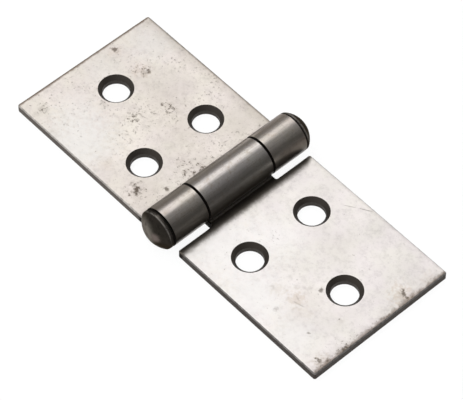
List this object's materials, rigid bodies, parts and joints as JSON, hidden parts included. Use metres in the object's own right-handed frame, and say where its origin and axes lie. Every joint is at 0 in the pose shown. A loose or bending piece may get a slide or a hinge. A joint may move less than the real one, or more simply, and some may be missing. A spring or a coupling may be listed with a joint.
{
  "type": "back flap hinge",
  "caption": "Plain steel back-flap hinge, open flat: two wide leaves with rolled knuckles and countersunk screw holes, turning on a fixed pin with domed heads.",
  "frame": {"origin": "on the plane of the leaves' backs, under the middle of the joint", "axes": "+X across the open hinge towards the leaf with the centre knuckle, +Y along the pin, +Z out of the front faces, up when the hinge lies on its back"},
  "size_m": [0.08, 0.0373, 0.0081],
  "materials": {
    "leaf_steel": "bare bright mild steel, satin, with faint mottling, dark pits and brown edge stains; the rolled knuckles are darker",
    "pin_steel": "dark brown-black oxidised steel, semi-matt"
  },
  "bodies": {
    "outer_leaf": {"outer_knuckle_leaf": "leaf_steel", "hinge_pin": "pin_steel"},
    "centre_leaf": {"centre_knuckle_leaf": "leaf_steel"}
  },
  "joints": [
    {"name": "leaf_fold", "type": "hinge", "parent": "outer_leaf", "child": "centre_leaf", "pos_m": [0, 0, 0.00405], "axis": [0, -1, 0], "range_deg": [-95, 185]}
  ]
}
